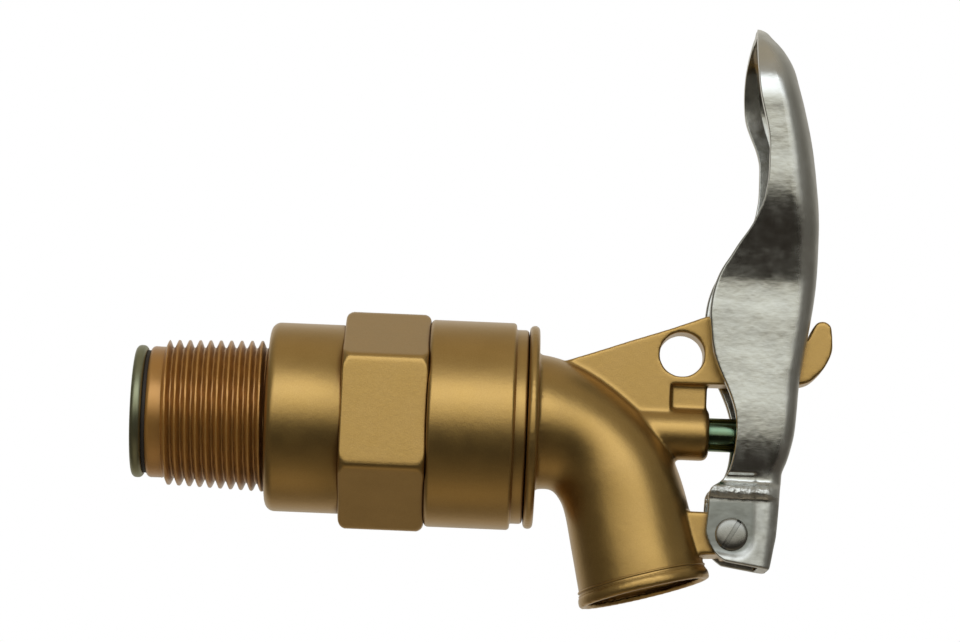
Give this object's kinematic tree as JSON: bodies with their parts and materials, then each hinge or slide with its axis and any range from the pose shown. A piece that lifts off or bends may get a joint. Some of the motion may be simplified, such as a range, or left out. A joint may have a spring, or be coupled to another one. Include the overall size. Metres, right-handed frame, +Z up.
{
  "type": "drum faucet",
  "caption": "Drum faucet with a tapered thread, hexagon and barrel, a swivelling bent spout with a padlock web, and a hand lever that pushes a self-closing valve open.",
  "frame": {"origin": "on the faucet's axis, at the shoulder where the thread meets the collar", "axes": "+X along the axis away from the drum, +Z up with the spout pointing down, and -Y towards the side with the pivot screw's head"},
  "size_m": [0.1217, 0.0362, 0.1038],
  "materials": {
    "bronze_paint": "satin gold-bronze paint over a casting",
    "polished_lever": "polished bright die casting",
    "green_zinc": "dark green zinc plating",
    "disc_zinc": "grey-green zinc plating",
    "black_rubber": "matt black rubber",
    "spring_steel": "bright spring steel",
    "screw_steel": "plain bright steel",
    "guide_brass": "turned brass"
  },
  "bodies": {
    "inlet": {"inlet_body": "bronze_paint", "stem_guide": "guide_brass", "closing_spring": "spring_steel"},
    "spout": {"spout_body": "bronze_paint", "swivel_o_ring_rear": "black_rubber", "swivel_o_ring_front": "black_rubber", "swivel_snap_ring": "spring_steel", "stem_o_ring_inner": "black_rubber", "stem_o_ring_outer": "black_rubber"},
    "valve": {"stem": "green_zinc", "valve_disc": "disc_zinc", "valve_gasket": "black_rubber", "gasket_backing_washer": "disc_zinc", "spring_washer": "spring_steel", "stem_clip": "spring_steel"},
    "hand_lever": {"lever": "polished_lever", "pivot_screw": "screw_steel"}
  },
  "joints": [
    {"name": "spout_swivel", "type": "hinge", "parent": "inlet", "child": "spout", "pos_m": [0.0457, 0, 0], "axis": [1, 0, 0], "continuous": true},
    {"name": "lever_pivot", "type": "hinge", "parent": "spout", "child": "hand_lever", "pos_m": [0.0814, 0, -0.0178], "axis": [0, -1, 0], "range_deg": [0, 15], "stiffness_Nm_per_rad": 0.9, "springref_deg": -34.38},
    {"name": "stem_slide", "type": "slide", "parent": "spout", "child": "valve", "axis": [-1, 0, 0], "range_m": [0, 0.005], "deforming": ["closing_spring"]}
  ],
  "couplings": [
    {"joint": "stem_slide", "follows": "lever_pivot", "m_per_rad": 0.0189}
  ]
}
